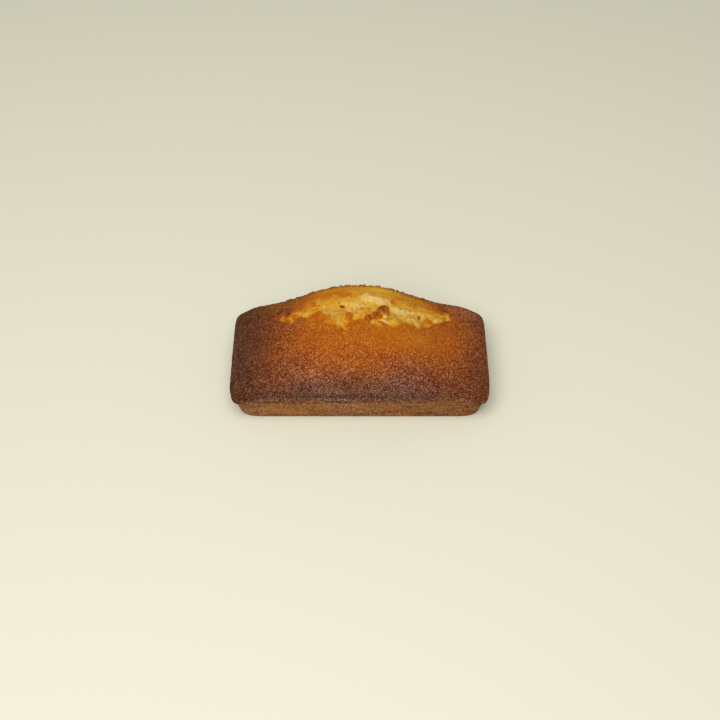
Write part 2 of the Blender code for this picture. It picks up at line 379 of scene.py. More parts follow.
# The grain's relief
GRAIN_TOP = {"low": 0.08, "high": 0.72, "to_low": 0.34, "to_high": -0.12}
GRAIN_NOISE_SCALE = 1.3
GRAIN_NOISE_WEIGHT = 1.3
GRAIN_USUAL = 0.75
PORE_SPREAD = {"low": 0.10, "high": 0.24, "to_low": 1.0, "to_high": 0.0}
PORE_CHANCE = 0.55
CRUMB_RIDGES = -4.0
CRUMB_RIDGE_TOP = 0.55

# Loose bits: their form, how deep they sit, and how much paler or darker than the crust they are
BALL_BUMPS = 1.3
BALL_UNEVENNESS = 0.9
BITS_SUNK = -0.35
BIT_SIZE_POWER = 2.0
TONE_SEED, TURN_SEED, BIT_SIZE_SEED = 1, 2, 3
GRAIN_TONE = (-0.28, 0.16)
CRUMB_TONE = (-0.02, 0.16)
KNOB_TONE = (-0.05, 0.14)

# The material: its patches, tints, grits and specks
EYE_GAMMA = 2.2
PATCH_SIZE = 3.5 * MM
PATCH_BAKE = 0.10
# Painted shade that darkens the crust's pores
SKIN_PORE_SHADE = 0.15
# Greyish tint of the painted sheen and of the painted shade in creases and pores, then the olive tint
SHEEN_SHADE_RED, SHEEN_SHADE_GREEN, SHEEN_SHADE_BLUE = -0.105, 0.105, 0.172
OLIVE_GREEN, OLIVE_BLUE = 0.05, -0.02
DARKEST = 0.001
DARKEST_SPECK = 0.05
BEND_SIZE = 0.5 * MM
BEND_REACH = 0.4 * MM
GRIT_SIZE = 0.31 * MM
GRIT_SOFTNESS = 0.15
GRIT_TOP = {"low": 0.10, "high": 0.60, "to_low": 1.0, "to_high": 0.0}
GRIT_POWER = 1.4
BROAD_SIZE = 0.65 * MM
BROAD_SOFTNESS = 0.2
FINE_SIZE = 0.32 * MM

# What a speck is made of: the usual value and the weight of fine noise, grit tops, each grit's own
# shade, the shade of broader ones, and the relief's grain; fine noise and the grits' own shades are
# random tone, while grit tops and the relief's grain put painted highlight on tops and painted shade between
SPECK_MIX = ((0.5, 0.8), (0.42, 0.15), (0.417, 1.75), (0.5, 0.2), (0.58, 0.15))
LOUDER_WHEN_BROWN = {"low": 0.35, "high": 0.85, "to_low": 0.075, "to_high": 0.22}
SOFTER_WHEN_DARK = {"low": 0.70, "high": 0.95, "to_low": 0.0, "to_high": -0.07}
# Specks are louder where the painted sheen and shade are
SHEEN_SHADE_LOUDER = 0.05
ROUGHNESS = {"low": 0.3, "high": 1.1, "to_low": 0.85, "to_high": 0.55}
SPECULAR = 0.12
BUMP_FINE = 0.9
BUMP_GRIT = 0.7
BUMP_STRENGTH = 0.8
BUMP_HEIGHT = 0.12 * MM

# The stage
FLOOR_REACH = 2.5
FLOOR_ROUGHNESS = 0.6
SENSOR_WIDTH = 36.0
CLIP_START = 0.01
SURROUND_COLOUR = (1.0, 0.98, 0.92, 1.0)

WANDER_CELLS = 32
WANDER_START = 100.0
TINY = 1e-12
FAR = 1.0


def smooth_step(low, high, value):
    """0 below low, 1 above high, and a smooth rise between them."""
    share = np.clip((value - low) / (high - low), 0.0, 1.0)
    return share * share * (3.0 - 2.0 * share)


def rise(low, high, value):
    """A smooth rise from 0 at low to 1 at high, both in mm, for a value in metres."""
    return smooth_step(low * MM, high * MM, value)


def fall(low, high, value):
    """A smooth fall from 1 at low to 0 at high, both in mm, for a value in metres."""
    return 1.0 - smooth_step(low * MM, high * MM, value)


def wander(points, size, seed):
    """Smooth random values between -1 and 1 over points, which change over about size."""
    table = np.random.default_rng(seed).uniform(-1.0, 1.0, (WANDER_CELLS,) * 3)
    places = points / size + WANDER_START
    low = np.floor(places).astype(int)
    share = places - low
    share = share * share * (3.0 - 2.0 * share)
    total = np.zeros(len(points))
    for corner in range(8):
        step = np.array([(corner >> axis) & 1 for axis in range(3)])
        weight = np.prod(np.where(step, share, 1.0 - share), axis=1)
        index = (low + step) % WANDER_CELLS
        total += weight * table[index[:, 0], index[:, 1], index[:, 2]]
    return total


def waves(points, layers):
    """The sum of layers of wandering, in metres."""
    return sum(height * MM * wander(points, size * MM, seed) for height, size, seed in layers)


def ripple(x, y, size, channel):
    """The smooth wander between about -1 and 1 that the solid has too."""
    pairs = zip(np.ravel(x), np.ravel(y))
    values = [2.0 * noise.noise(Vector((a / size, b / size, CHANNEL_STEP * channel))) for a, b in pairs]
    return np.array(values).reshape(np.shape(x))


class CakeShape(bpy.types.PropertyGroup):
    length: bpy.props.FloatProperty(
        name="Length", description="Length over the lip", unit="LENGTH", precision=4,
        default=float(NODE_HIGH[0] - NODE_LOW[0]))
    width: bpy.props.FloatProperty(
        name="Width", description="Width over the lip", unit="LENGTH", precision=4,
        default=float(NODE_HIGH[1] - NODE_LOW[1]))
    crown_height: bpy.props.FloatProperty(
        name="Crown height", description="Height of the crown without its crags", unit="LENGTH",
        precision=4, default=33.4 * MM)
    end_height: bpy.props.FloatProperty(
        name="End height", description="Height that the crown sinks to at its ends", unit="LENGTH",
        precision=4, default=15.0 * MM)
    lip_height: bpy.props.FloatProperty(
        name="Lip height", description="Height of the lip along the sides", unit="LENGTH",
        precision=4, default=12.2 * MM)
    lip_drop: bpy.props.FloatProperty(
        name="Lip drop", description="How steeply the lip droops to the corners", unit="LENGTH",
        precision=4, default=9.0 * MM)
    lip_flare: bpy.props.FloatProperty(
        name="Lip flare", description="How far the lip stands out from the crown", unit="LENGTH",
        precision=4, default=0.4 * MM)
    foot_inset: bpy.props.FloatProperty(
        name="Foot inset", description="How far the foot steps in from the lip", unit="LENGTH",
        precision=4, default=2.0 * MM)


class CakeRelief(bpy.types.PropertyGroup):
    grain_size: bpy.props.FloatProperty(
        name="Grain size", description="Distance between grains of the crust", unit="LENGTH",
        precision=5, default=0.60 * MM)
    grain_height: bpy.props.FloatProperty(
        name="Grain height", description="How far the grains stand out", unit="LENGTH",
        precision=5, default=0.19 * MM)
    lump_size: bpy.props.FloatProperty(
        name="Lump size", description="Distance between low lumps of the crust", unit="LENGTH",
        precision=5, default=3.4 * MM)
    lump_height: bpy.props.FloatProperty(
        name="Lump height", description="How far the low lumps stand out", unit="LENGTH",
        precision=5, default=0.16 * MM)
    pore_spacing: bpy.props.FloatProperty(
        name="Pore spacing", description="Distance between pores of the crust", unit="LENGTH",
        precision=5, default=2.1 * MM)
    pore_depth: bpy.props.FloatProperty(
        name="Pore depth", description="How deep the pores are", unit="LENGTH",
        precision=5, default=0.30 * MM)
    crumb_size: bpy.props.FloatProperty(
        name="Crumb size", description="Distance between ridges of the torn crumb", unit="LENGTH",
        precision=5, default=1.7 * MM)
    crumb_height: bpy.props.FloatProperty(
        name="Crumb height", description="How far the torn crumb stands out", unit="LENGTH",
        precision=5, default=0.38 * MM)


class CakeBits(bpy.types.PropertyGroup):
    grain_spread: bpy.props.FloatProperty(
        name="Grains", description="Loose grains on a square millimetre of crust", default=0.6)
    smallest_grain: bpy.props.FloatProperty(
        name="Smallest grain", description="Radius of the smallest loose grain", unit="LENGTH",
        precision=5, default=0.12 * MM)
    largest_grain: bpy.props.FloatProperty(
        name="Largest grain", description="Radius of the largest loose grain", unit="LENGTH",
        precision=5, default=0.34 * MM)
    crumb_spread: bpy.props.FloatProperty(
        name="Crumbs", description="Crumbs on a square millimetre of torn edge", default=0.4)
    smallest_crumb: bpy.props.FloatProperty(
        name="Smallest crumb", description="Radius of the smallest crumb", unit="LENGTH",
        precision=5, default=0.18 * MM)
    largest_crumb: bpy.props.FloatProperty(
        name="Largest crumb", description="Radius of the largest crumb", unit="LENGTH",
        precision=5, default=0.6 * MM)
    knob_spread: bpy.props.FloatProperty(
        name="Knobs", description="Knobs on a square millimetre of the crest's back", default=0.4)
    smallest_knob: bpy.props.FloatProperty(
        name="Smallest knob", description="Radius of the smallest knob", unit="LENGTH",
        precision=5, default=0.3 * MM)
    largest_knob: bpy.props.FloatProperty(
        name="Largest knob", description="Radius of the largest knob", unit="LENGTH",
        precision=5, default=0.8 * MM)


class CakeStage(bpy.types.PropertyGroup):
    lens: bpy.props.FloatProperty(
        name="Lens", description="Focal length of the camera", unit="CAMERA", default=57.5)
    distance: bpy.props.FloatProperty(
        name="Distance", description="From the camera to the point that it aims at", unit="LENGTH",
        default=420.0 * MM)
    elevation: bpy.props.FloatProperty(
        name="Elevation", description="How far the camera looks down", subtype="ANGLE",
        default=math.radians(50.2))
    aim: bpy.props.FloatVectorProperty(
        name="Aim", description="The point that the camera aims at", subtype="XYZ",
        default=(0.1 * MM, 6.25 * MM, 0.0))
    floor_colour: bpy.props.FloatVectorProperty(
        name="Floor colour", description="Colour of the floor", subtype="COLOR",
        default=(0.75, 0.735, 0.59))
    surround: bpy.props.FloatProperty(
        name="Surround", description="Strength of the even light from all sides", default=0.38)
    key_power: bpy.props.FloatProperty(
        name="Key power", description="Power of the soft light", unit="POWER", default=4.7)
    key_size: bpy.props.FloatProperty(
        name="Key size", description="Diameter of the soft light", unit="LENGTH", default=0.7)
    key_place: bpy.props.FloatVectorProperty(
        name="Key place", description="Where the soft light hangs", subtype="XYZ",
        default=(-0.09, -0.31, 0.62))


class CakeSettings(bpy.types.PropertyGroup):
    shape: bpy.props.PointerProperty(type=CakeShape)
    relief: bpy.props.PointerProperty(type=CakeRelief)
    bits: bpy.props.PointerProperty(type=CakeBits)
    stage: bpy.props.PointerProperty(type=CakeStage)


def reaches():
    """Shares of the way out from the spine to the lip, for even steps over the surface."""
    reach = 1.0 - np.linspace(1.0, 0.0, TRIAL_STEPS + 1) ** TRIAL_POWER
    height = (1.0 - reach ** MIDDLE_FULLNESS) ** (1.0 / MIDDLE_FULLNESS)
    stretch = np.hypot(np.diff(reach) * WAY_OUT, np.diff(height) * WAY_DOWN)
    fine = np.where(reach[1:] < CREST_SHARE, CREST_STEP, SIDE_STEP)
    count = np.concatenate([[0.0], np.cumsum(stretch / fine)])
    whole = int(round(count[-1]))
    return np.interp(np.linspace(0.0, count[-1], whole + 1), count, reach)


def plan_points(spine_x, out_x, out_y, squareness, inset, shape):
    """The plan points out from places on the spine, by shares of the way to the outline."""
    size = (np.abs(out_x) ** squareness + np.abs(out_y) ** squareness) ** (1.0 / squareness)
    share = np.maximum(np.abs(out_x), np.abs(out_y)) / np.maximum(size, TINY)
    x = spine_x + out_x * share * (END_SHOULDER - inset)
    return x, out_y * share * (0.5 * shape.width - inset)


def lip_z(x, y, shape):
    """The lip's height, which droops to the corners."""
    corner = (2.0 * np.abs(x) / shape.length) ** DROOP_POWER_X
    corner = corner * (2.0 * np.abs(y) / shape.width) ** DROOP_POWER_Y
    return shape.lip_height - shape.lip_drop * corner


def ridge_z(x, shape):
    """The crown's height along its crest."""
    away = np.abs(x - RIDGE_CENTRE) / RIDGE_SPREAD
    return shape.end_height + (shape.crown_height - shape.end_height) * np.exp(-away ** RIDGE_POWER)


def crown_z(x, y, reach, lip, shape):
    """The crown's height, from its crest down to the lip, with a gentle unevenness."""
    fullness = MIDDLE_FULLNESS + (END_FULLNESS - MIDDLE_FULLNESS) * (2.0 * x / shape.length) ** 2
    shoulder = (1.0 - np.minimum(reach, 1.0) ** fullness) ** (1.0 / fullness)
    z = lip + (ridge_z(x, shape) - lip) * shoulder
    swing = UNEVENNESS * (1.0 - reach ** UNEVENNESS_POWER)
    return z + swing * ripple(x, y, UNEVENNESS_SIZE, UNEVENNESS_CHANNEL)


def cake_grid(shape):
    """For each point of the crown's grid, its place on the spine and its shares of the way out."""
    outward = reaches()
    spine_end = 0.5 * shape.length - END_SHOULDER
    spine = np.linspace(-spine_end, spine_end, int(round(2.0 * spine_end / SPINE_STEP)) + 1)
    end_line = 1.0 - np.linspace(1.0, 0.0, END_STEPS + 1)[1:] ** END_POWER
    left, right = np.full(END_STEPS, -spine_end), np.full(END_STEPS, spine_end)
    across_spine = np.concatenate([left, spine, right])
    across_out = np.concatenate([-end_line[::-1], np.zeros(len(spine)), end_line])
    along = np.concatenate([-outward[:0:-1], outward])
    spine_x, out_y = np.meshgrid(across_spine, along, indexing="ij")
    out_x = np.meshgrid(across_out, along, indexing="ij")[0]
    return spine_x, out_x, out_y


def away_from(x, y, centre_x, centre_y, length, width, turn):
    """0 at the middle of an oval, 1 on its edge."""
    cosine = math.cos(math.radians(turn))
    sine = math.sin(math.radians(turn))
    along = (x - centre_x * MM) * cosine + (y - centre_y * MM) * sine
    across = (y - centre_y * MM) * cosine - (x - centre_x * MM) * sine
    return np.hypot(along / (0.5 * length * MM), across / (0.5 * width * MM))


def distance_to_line(x, y, line):
    """The distance from each point to a line of short straight runs."""
    nearest = np.full(np.shape(x), FAR)
    for (ax, ay), (bx, by) in zip(line, line[1:]):
        run_x = (bx - ax) * MM
        run_y = (by - ay) * MM
        share = ((x - ax * MM) * run_x + (y - ay * MM) * run_y) / (run_x ** 2 + run_y ** 2)
        share = np.clip(share, 0.0, 1.0)
        gap = np.hypot(x - ax * MM - share * run_x, y - ay * MM - share * run_y)
        nearest = np.minimum(nearest, gap)
    return nearest


def line_at(x, line):
    """The y of a line at each x."""
    xs, ys = np.array(line).T * MM
    return np.interp(x, xs, ys)


def torn_edges(x, y, stray_x, stray_y):
    """How far points lie inwards from the split's front edge, its back edge and its nearer end."""
    from_front = y + stray_y - line_at(x + stray_x, FRONT_LIP)
    from_back = line_at(x + stray_x, BACK_LIP) - y - stray_y
    left_end, right_end = FRONT_LIP[0][0] * MM, FRONT_LIP[-1][0] * MM
    return from_front, from_back, np.minimum(x + stray_x - left_end, right_end - x - stray_x)


def lay_lumps(x, y, brown, strength):
    """How far the lumps stand out and sink in, and the browning and its strength with theirs laid over."""
    lift = np.zeros_like(x)
    hollow = np.zeros_like(x)
    for centre_x, centre_y, length, wide, turn, up, bake, show in LUMPS:
        away = away_from(x, y, centre_x, centre_y, length, wide, turn)
        firm = smooth_step(*FIRM_BAKE, bake)
        knob = np.sqrt(np.clip(1.0 - KNOB_ROUNDNESS * away ** 2, 0.0, 1.0))
        knob = knob * (1.0 - smooth_step(*KNOB_FADE, away))
        swell = 1.0 - smooth_step(*SWELL_FADE, away)
        dome = swell + firm * (knob - swell)
        lift = np.maximum(lift, up * MM * dome)
        hollow = np.minimum(hollow, up * MM * dome)
        fade_from = SHADE_FADE[0] + FIRM_SHADE_FADE[0] * firm
        fade_to = SHADE_FADE[1] - FIRM_SHADE_FADE[1] * firm
        weight = show * (1.0 - smooth_step(fade_from, fade_to, away))
        brown = brown + weight * (bake - brown)
        strength = np.maximum(strength, weight)
    return lift, hollow, brown, strength


def sink_creases(x, y, split):
    """Sink the creases into the crumb, with painted shade that makes them a little browner and greyer than
    it.
    """
    for line in CREASES:
        gap = distance_to_line(x, y, line)
        crease = np.exp(-(gap / CREASE_WIDTH) ** 2)
        split["lift"] -= CREASE_DEPTH * crease + VALLEY_DEPTH * np.exp(-(gap / VALLEY_WIDTH) ** 2)
        split["brown"] += CREASE_SHADE * crease
        split["grey"] = np.maximum(split["grey"], crease)


def sink_pores(x, y, split):
    """Sink the pores into the crumb, darkened and greyed with painted shade."""
    for centre_x, centre_y, length, wide, turn in PORES:
        away = away_from(x, y, centre_x, centre_y, length, wide, turn)
        pit = 1.0 - smooth_step(*PORE_EDGE, away)
        split["lift"] -= PORE_DEPTH * pit
        split["brown"] += pit * (PORE_SHADE - split["brown"])
        split["grey"] = np.maximum(split["grey"], PORE_GREY * pit)


def crown_split(x, y):
    """Lift, share of bare crumb, browning and its strength, greyness of the painted shade in creases and
    pores, and calm of grain over the crown.
    """
    flat = np.stack([x, y, np.zeros_like(x)], axis=-1)
    stray_x = waves(flat, STRAY_X)
    stray_y = waves(flat, STRAY_Y)
    from_front, from_back, from_end = torn_edges(x, y, stray_x, stray_y)
    within = rise(*END_EDGE, from_end)
    bare = smooth_step(-FRONT_EDGE, FRONT_EDGE, from_front) * smooth_step(-BACK_EDGE, BACK_EDGE, from_back)
    bare *= within
    width = np.maximum(from_front + from_back, MM)
    across = np.clip(from_front / width, 0.0, 1.0)
    brown = CRUMB_BAKE - CRUMB_PALER * smooth_step(*PALER_ACROSS, across)
    brown += CRUMB_DARKER * smooth_step(*DARKER_ACROSS, across)
    ragged_x = x + waves(flat, RAGGED_X)
    ragged_y = y + waves(flat, RAGGED_Y)
    lift, hollow, brown, strength = lay_lumps(ragged_x, ragged_y, brown, bare)
    patches = sum(weight * wander(flat, size * MM, seed) for weight, size, seed in PATCH_LAYERS)
    brown += CRUMB_PATCHES * patches * bare
    trough = SPLIT_DEPTH + CRUMB_UNEVENNESS * wander(flat, CRUMB_UNEVENNESS_SIZE, CRUMB_UNEVENNESS_SEED)
    lift += hollow - trough * bare
    lift += RIM_ROLL * np.exp(-(from_front / RIM_WIDTH) ** 2) * (1.0 - bare) * (from_back > 0) * within
    split = {"lift": lift, "bare": bare, "brown": brown, "strength": strength, "grey": np.zeros_like(x)}
    sink_creases(x + CREASE_STRAY * stray_x, y + CREASE_STRAY * stray_y, split)
    sink_pores(x, y, split)
    split["calm"] = rise(*CALM_EDGE, from_front) * fall(*CALM_ENDS, np.abs(x))
    return split


def foot_brown(points):
    """How brown the moulded foot is baked, in streaks along it, and darker near the base, partly as painted
    shade where it meets the floor.
    """
    x, y, z = points.T
    brown = FOOT_BAKE + FOOT_RIGHT_BAKE * rise(-10.0, 25.0, x)
    brown += FOOT_ENDS_BAKE * rise(34.0, 44.0, np.abs(x))
    # Darker near the base, partly as painted shade where the foot meets the floor
    brown += (BASE_SHADE_AND_BAKE - BASE_MIDDLE_PALER * rise(-24.0, -4.0, x)) * fall(1.5, 5.0, z)
    return brown + STREAK_BAKE * wander(points * STREAK_STRETCH, STREAK_SIZE, STREAK_SEED)


def crust_brown(points, foot, edge, ledge):
    """How brown the crust is baked: golden where it stands high, dark low down and at the ends."""
    x, y, z = points.T
    brown = CREST_BAKE + CROWN_SIDE_BAKE * fall(15.0, 35.0, z)
    brown += ABOVE_LIP_BAKE * fall(12.5, 17.0, z) * fall(20.0, 40.0, x)
    sides = rise(20.0, 32.0, -x) + rise(0.0, 14.0, x)
    brown += NEAR_LIP_BAKE * fall(13.5, 16.5, z) * (1.0 - sides)
    brown += LEFT_END_BAKE * rise(14.0, 50.0, -x) + RIGHT_END_BAKE * rise(30.0, 42.0, x)
    for centre_x, centre_y, length, wide, turn, change in TOASTED:
        away = away_from(x, y, centre_x, centre_y, length, wide, turn)
        brown += change * np.exp(-TOAST_FALLOFF * away ** 2)
    brown += foot * (foot_brown(points) - brown)
    dashes = smooth_step(*DASH_SHARE, wander(points, DASH_SIZE, DASH_SEED))
    dashes *= 1.0 - DASHES_FEWER_RIGHT * rise(0.0, 18.0, x)
    edge = edge * fall(30.0, 40.0, -x) * fall(-2.0, 16.0, x)
    # Paler at the lip's edge, and darker dashes under the lip that are partly painted shade
    return brown - EDGE_PALER * edge + LEDGE_SHADE_AND_BAKE * ledge * dashes


def crust_sheen(points, foot):
    """How much greyish painted sheen the crust has: most on the foot and just above the lip."""
    x, y, z = points.T
    out = np.abs(x)
    low = 1.0 - smooth_step(SHEEN_BOTTOM, SHEEN_TOP - SHEEN_TOP_DROP * rise(15.0, 32.0, out), z)
    low *= MIDDLE_SHEEN - ENDS_LESS_SHEEN * rise(16.0, 40.0, out + SHEEN_SHIFT * (x > 0))
    low *= 1.0 - BACK_LESS_SHEEN * rise(5.0, 15.0, y)
    low += BACK_RIGHT_SHEEN * rise(24.0, 34.0, x) * rise(11.0, 16.0, y)
    low -= RIGHT_END_LESS_SHEEN * rise(30.0, 40.0, x) * fall(8.0, 14.0, y)
    on_foot = FOOT_SHEEN - FOOT_RIGHT_LESS_SHEEN * rise(-5.0, 20.0, x)
    patches = SHEEN_LEVEL + SHEEN_PATCHES * wander(points, SHEEN_PATCH_SIZE, SHEEN_SEED)
    return (low + foot * (on_foot - low)) * patches


def olive_back(points):
    """The back of the crown is more olive than red, but for its right end."""
    x, y, z = points.T
    return BACK_OLIVE * rise(10.0, 16.0, y) * (1.0 - BACK_RIGHT_LESS_OLIVE * rise(20.0, 32.0, x))


def knobs_on_crest(points):
    """Where browned knobs stand on the back of the crest."""
    x, y, z = points.T
    band = rise(11.5, 14.5, y) * fall(18.5, 20.5, y)
    band *= rise(14.0, 18.0, z)
    return band * fall(22.0, 34.0, np.abs(x))


def rows_down():
    """Rows of the foot: the shaped rows, with even ones between the last few."""
    levels = list(FOOT_ROWS[:SHAPED_ROWS])
    for start, end, count in zip(FOOT_ROWS[SHAPED_ROWS - 1:], FOOT_ROWS[SHAPED_ROWS:], EVEN_ROWS):
        for step in range(1, count + 1):
            share = step / count
            levels.append(tuple(a + (b - a) * share for a, b in zip(start, end)))
    return levels


def foot_rows(points, rim, rim_at, shape):
    """Points and faces from the lip down to the base, and how far each is foot, edge and ledge."""
    rows, faces = [], []
    marks = {"foot": [], "edge": [], "ledge": []}
    upper = rim
    start = len(points)
    for height_share, inset_share in rows_down():
        square = LIP_SQUARENESS + (FOOT_SQUARENESS - LIP_SQUARENESS) * min(inset_share, 1.0)
        x, y = plan_points(*rim_at, square, inset_share * shape.foot_inset, shape)
        rows.append(np.stack([x, y, points[rim, 2] * height_share], axis=-1))
        inset = np.full(len(rim), inset_share)
        marks["foot"].append(RIM_SHARE + (1.0 - RIM_SHARE) * smooth_step(*UNDER_RIM, inset))
        marks["edge"].append(1.0 * (inset < EDGE_INSET))
        marks["ledge"].append(1.0 * (inset > LEDGE_INSET[0]) * (inset < LEDGE_INSET[1]))
        lower = np.arange(start, start + len(rim))
        ring = np.stack([upper, lower, np.roll(lower, -1), np.roll(upper, -1)], axis=-1)
        faces += ring.tolist()
        upper = lower
        start += len(rim)
    faces.append(upper[::-1].tolist())
    return rows, faces, marks


def body_values(points, split, crust, foot):
    """What the material, the grain and the loose bits follow, over the points."""
    bare, brown, strength, grey = (split[label] for label in ("bare", "brown", "strength", "grey"))
    height = points[:, 2]
    flakes = bare * smooth_step(*FLAKE_BAKE, brown)
    quiet = np.maximum(bare, CALM_SHARE * split["calm"]) * (1.0 - FLAKE_SHARE * flakes)
    return {
        "bake": crust + strength * (brown - crust),
        "crumb": bare,
        # Greyish painted sheen on the crust, with painted shade in creases and pores
        "sheen_and_shade": crust_sheen(points, foot) * (1.0 - strength) + CREASE_GREY * grey,
        # Olive on the foot and the back of the crown, and in creases and pores as painted shade
        "olive": np.maximum(np.maximum(foot, grey), olive_back(points)),
        "speckled": 1.0 - QUIET_SHARE * quiet - FOOT_QUIET * foot,
        "relief": rise(0.0, 1.0, height) * (1.0 - FOOT_RELIEF_LESS * foot),
        "grainy": (1.0 - bare + flakes) * rise(0.5, 2.0, height) * (1.0 - FOOT_GRAINS_LESS * foot),
        "torn": np.maximum(bare * TORN_INSIDE, TORN_EDGE * bare * (1.0 - bare)),
        "knobby": knobs_on_crest(points) + CRUST_KNOBS * (1.0 - bare) * (1.0 - foot),
    }


def build_body(shape):
    """Points, faces and values over the points of the body: foot, lip and crown."""
    spine_x, out_x, out_y = cake_grid(shape)
    reach = np.maximum(np.abs(out_x), np.abs(out_y))
    squareness = CROWN_SQUARENESS + (WALL_SQUARENESS - CROWN_SQUARENESS) * reach ** WALL_POWER
    x, y = plan_points(spine_x, out_x, out_y, squareness, shape.lip_flare, shape)
    lip = lip_z(x, y, shape)
    z = crown_z(x, y, reach, lip, shape)
    points = np.stack([x, y, z], axis=-1).reshape(-1, 3)
    index = np.arange(x.size).reshape(x.shape)
    quads = np.stack([index[:-1, :-1], index[1:, :-1], index[1:, 1:], index[:-1, 1:]], axis=-1)
    split = crown_split(points[:, 0], points[:, 1])
    rim = np.concatenate([index[:, 0], index[-1, 1:], index[-2::-1, -1], index[0, -2:0:-1]])
    rim_at = [part.ravel()[rim] for part in (spine_x, out_x, out_y)]
    rows, row_faces, marks = foot_rows(points, rim, rim_at, shape)
    faces = quads.reshape(-1, 4).tolist() + row_faces
    edge = fall(*EDGE_HEIGHT, (z - lip).ravel())
    foot = np.concatenate([smooth_step(*RIM_REACH, reach.ravel()) * RIM_SHARE, *marks["foot"]])
    ledge = np.concatenate([np.zeros_like(edge), *marks["ledge"]])
    edge = np.concatenate([edge, *marks["edge"]])
    below = sum(len(row) for row in rows)
    split = {label: np.pad(part, (0, below)) for label, part in split.items()}
    points = np.concatenate([points, *rows])
    crust = crust_brown(points, foot, edge, ledge)
    points[:, 2] += split["lift"]
    return points, faces, body_values(points, split, crust, foot)


def new_mesh_object(name, points, faces, values=None):
    """A smooth mesh object with its values kept as attributes of its points."""
    mesh = bpy.data.meshes.new(name)
    mesh.from_pydata(points.tolist(), [], faces)
    for label, numbers in (values or {}).items():
        attribute = mesh.attributes.new(label, "FLOAT", "POINT")
        attribute.data.foreach_set("value", numbers.astype(np.float32))
    mesh.update()
    mesh.shade_smooth()
    thing = bpy.data.objects.new(name, mesh)
    bpy.context.scene.collection.objects.link(thing)
    return thing


def add_node(tree, kind, inputs=None, **settings):
    """A node with its settings made and its inputs linked or filled in."""
    made = tree.nodes.new(kind)
    for label, value in settings.items():
        setattr(made, label, value)
    for label, value in (inputs or {}).items():
        if isinstance(value, bpy.types.NodeSocket):
            tree.links.new(value, made.inputs[label])
        else:
            made.inputs[label].default_value = value
    return made


def calculate(tree, operation, first, second=0.0, third=0.0):
    return add_node(tree, "ShaderNodeMath", {0: first, 1: second, 2: third}, operation=operation).outputs[0]


def combine(tree, operation, first, second):
    """Arithmetic with two vectors, or a vector scaled by a number."""
    second_input = "Scale" if operation == "SCALE" else 1
    inputs = {0: first, second_input: second}
    return add_node(tree, "ShaderNodeVectorMath", inputs, operation=operation).outputs[0]


def remap(tree, value, low, high, to_low, to_high):
    """A smooth change from to_low to to_high as the value goes from low to high."""
    inputs = {"Value": value, "From Min": low, "From Max": high, "To Min": to_low, "To Max": to_high}
    return add_node(tree, "ShaderNodeMapRange", inputs, interpolation_type="SMOOTHSTEP").outputs[0]


def size_to_scale(tree, size):
    return calculate(tree, "DIVIDE", 1.0, size)


def noise_value(tree, place, scale, detail=2.0, roughness=0.5):
    inputs = {"Vector": place, "Scale": scale, "Detail": detail, "Roughness": roughness}
    return add_node(tree, "ShaderNodeTexNoise", inputs).outputs[0]


def cells(tree, place, scale, softness=0.0):
    """Random cells, with soft edges where softness is above 0."""
    if softness:
        inputs = {"Vector": place, "Scale": scale, "Smoothness": softness}
        return add_node(tree, "ShaderNodeTexVoronoi", inputs, feature="SMOOTH_F1")
    return add_node(tree, "ShaderNodeTexVoronoi", {"Vector": place, "Scale": scale})


def channel(tree, colour, number):
    """One of a colour's three channels."""
    return add_node(tree, "ShaderNodeSeparateColor", {0: colour}).outputs[number]


def new_geometry_tree(name, sizes):
    """A geometry tree with a named input for each size, and the outputs of its group input."""
    tree = bpy.data.node_groups.new(name, "GeometryNodeTree")
    tree.interface.new_socket("Geometry", in_out="INPUT", socket_type="NodeSocketGeometry")
    tree.interface.new_socket("Geometry", in_out="OUTPUT", socket_type="NodeSocketGeometry")
    for label, value in sizes.items():
        kind = "NodeSocketInt" if isinstance(value, int) else "NodeSocketFloat"
        tree.interface.new_socket(label, in_out="INPUT", socket_type=kind)
    return tree, tree.nodes.new("NodeGroupInput").outputs


def finish_tree(tree, geometry, material):
    """End a tree in plain mesh with its material."""
    real = add_node(tree, "GeometryNodeRealizeInstances", {"Geometry": geometry})
    last = add_node(tree, "GeometryNodeSetMaterial", {"Geometry": real.outputs[0], "Material": material})
    add_node(tree, "NodeGroupOutput", {"Geometry": last.outputs[0]})


def named_value(tree, label):
    return add_node(tree, "GeometryNodeInputNamedAttribute", {"Name": label}, data_type="FLOAT").outputs[0]


def store_value(tree, geometry, label, value):
    inputs = {"Geometry": geometry, "Name": label, "Value": value}
    kept = add_node(tree, "GeometryNodeStoreNamedAttribute", inputs, data_type="FLOAT", domain="POINT")
    return kept.outputs[0]


def moved_by(tree, geometry, offset):
    return add_node(tree, "GeometryNodeSetPosition", {"Geometry": geometry, "Offset": offset}).outputs[0]


def grow(name, mesh, tree, sizes):
    """The plain mesh object that a tree makes from a mesh, at the given sizes."""
    maker = bpy.data.objects.new(name + " maker", mesh)
    bpy.context.scene.collection.objects.link(maker)
    modifier = maker.modifiers.new(name, "NODES")
    modifier.node_group = tree
    for socket in tree.interface.items_tree:
        if socket.in_out == "INPUT" and socket.name in sizes:
            modifier[socket.identifier] = sizes[socket.name]
    graph = bpy.context.evaluated_depsgraph_get()
    result = bpy.data.meshes.new_from_object(maker.evaluated_get(graph))
    bpy.data.objects.remove(maker)
    result.name = name
    result.shade_smooth()
    thing = bpy.data.objects.new(name, result)
    bpy.context.scene.collection.objects.link(thing)
    return thing


